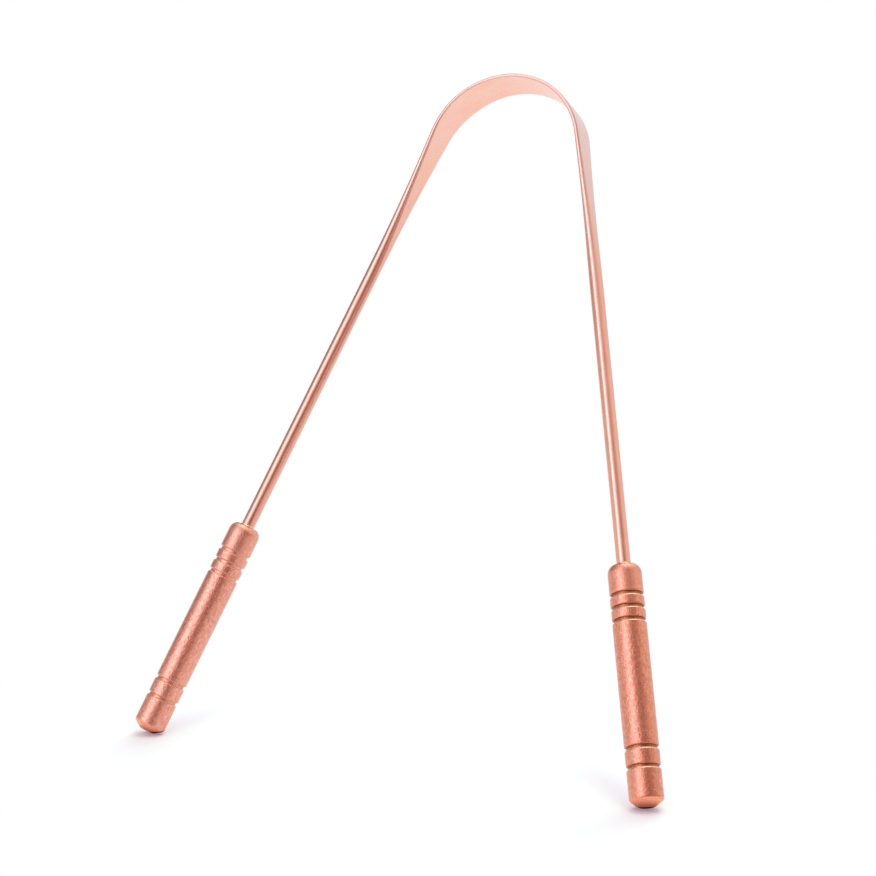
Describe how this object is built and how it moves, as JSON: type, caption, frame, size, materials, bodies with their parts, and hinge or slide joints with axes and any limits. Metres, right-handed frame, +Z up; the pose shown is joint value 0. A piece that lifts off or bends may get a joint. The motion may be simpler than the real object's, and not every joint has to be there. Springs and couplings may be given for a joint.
{
  "type": "tongue scraper",
  "caption": "Two-handled copper tongue scraper: a round rod bent into a tall arch, rolled flat at the top as the scraping blade, with turned and grooved bar handles on both legs.",
  "frame": {"origin": "midway between the free ends of the two handles, at the height on which they stand", "axes": "+Z up from the handle ends to the top of the arch, +X from the left leg to the right leg, +Y across the blade's width, away from the picture's viewpoint"},
  "size_m": [0.1116, 0.0086, 0.1413],
  "materials": {
    "copper_rod": "polished round legs, satin blade",
    "copper_bar": "satin, turned and brushed along the bar",
    "braze_filler": "bright, as it cooled"
  },
  "bodies": {
    "root": {"scraping_bow": "copper_rod", "left_handle": "copper_bar", "right_handle": "copper_bar", "left_braze": "braze_filler", "right_braze": "braze_filler"}
  },
  "joints": []
}
